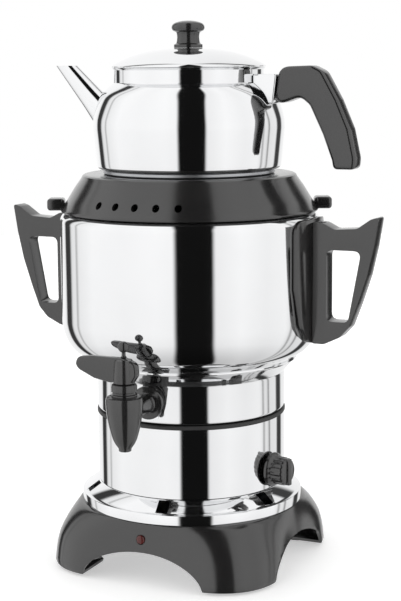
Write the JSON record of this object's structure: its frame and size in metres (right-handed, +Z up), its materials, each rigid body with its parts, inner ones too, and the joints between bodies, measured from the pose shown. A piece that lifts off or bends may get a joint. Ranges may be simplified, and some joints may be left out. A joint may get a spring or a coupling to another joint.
{
  "type": "samovar",
  "caption": "Two-tier electric samovar: boiler with side handles, tap, thermostat and footed base, with a teapot standing on its lid.",
  "frame": {"origin": "middle of the footprint, on the floor: halfway between the handle tips in X and halfway between the front of the tap and the back of the drum in Y", "axes": "+Z up through the teapot; the tap faces -Y; +X points to the side with the thermostat knob and the teapot handle"},
  "size_m": [0.355, 0.262, 0.4808],
  "materials": {
    "polished_steel": "mirror polished stainless steel",
    "black_bakelite": "glossy black moulded phenolic",
    "grey_rubber": "matt",
    "dark_silicone": "satin",
    "plated_steel": "satin zinc plate",
    "brass": "turned",
    "porcelain": "matt ceramic",
    "lamp_red": "clear red, moulded"
  },
  "bodies": {
    "root": {"base_skirt": "black_bakelite", "foot_pad_1": "grey_rubber", "foot_pad_2": "grey_rubber", "foot_pad_3": "grey_rubber", "foot_pad_4": "grey_rubber", "pilot_lamp_lens": "lamp_red", "pilot_lamp_holder": "porcelain", "bottom_plate": "plated_steel", "skirt_ring": "polished_steel", "housing_shell": "polished_steel", "seam_gasket": "dark_silicone", "boiler_shell": "polished_steel", "boiler_neck": "polished_steel", "heating_element": "plated_steel", "heater_gasket": "dark_silicone", "heater_flange": "brass", "thermal_cutout": "porcelain", "tie_rod": "plated_steel", "tie_rod_nut": "brass", "thermostat_body": "porcelain", "thermostat_bracket": "plated_steel", "terminal_block": "porcelain", "power_inlet": "black_bakelite", "tap_body": "black_bakelite", "tap_gasket": "dark_silicone", "tap_inner_gasket": "dark_silicone", "tap_nut": "brass", "tap_bonnet": "black_bakelite", "right_handle_saddle": "black_bakelite", "left_handle_saddle": "black_bakelite", "right_handle": "black_bakelite", "left_handle": "black_bakelite", "right_handle_screw_1": "plated_steel", "right_handle_screw_2": "plated_steel", "left_handle_screw_1": "plated_steel", "left_handle_screw_2": "plated_steel"},
    "thermostat_dial": {"thermostat_spindle": "plated_steel", "thermostat_knob": "black_bakelite"},
    "tap_key": {"tap_plug": "brass", "tap_lever": "black_bakelite", "tap_finial": "black_bakelite"},
    "boiler_cover": {"boiler_lid": "black_bakelite"},
    "teapot": {"teapot_shell": "polished_steel", "teapot_base_disc": "plated_steel", "teapot_spout": "polished_steel", "teapot_ferrule": "polished_steel", "teapot_handle": "black_bakelite", "teapot_handle_stud": "plated_steel"},
    "teapot_cover": {"teapot_lid": "polished_steel", "teapot_lid_ring": "polished_steel", "teapot_lid_knob": "black_bakelite", "teapot_lid_screw": "plated_steel"}
  },
  "joints": [
    {"name": "thermostat_turn", "type": "hinge", "parent": "root", "child": "thermostat_dial", "pos_m": [0.08519, 0.00068, 0.09], "axis": [-0.9848, 0.1736, 0], "range_deg": [0, 270]},
    {"name": "tap_turn", "type": "hinge", "parent": "root", "child": "tap_key", "pos_m": [0, -0.1153, 0.1838], "axis": [0, 0, 1], "range_deg": [0, 90]},
    {"name": "boiler_lid_lift", "type": "slide", "parent": "root", "child": "boiler_cover", "axis": [0, 0, 1], "range_m": [0, 0.12]},
    {"name": "teapot_lift", "type": "slide", "parent": "boiler_cover", "child": "teapot", "axis": [0, 0, 1], "range_m": [0, 0.12]},
    {"name": "teapot_lid_lift", "type": "slide", "parent": "teapot", "child": "teapot_cover", "axis": [0, 0, 1], "range_m": [0, 0.06]}
  ]
}
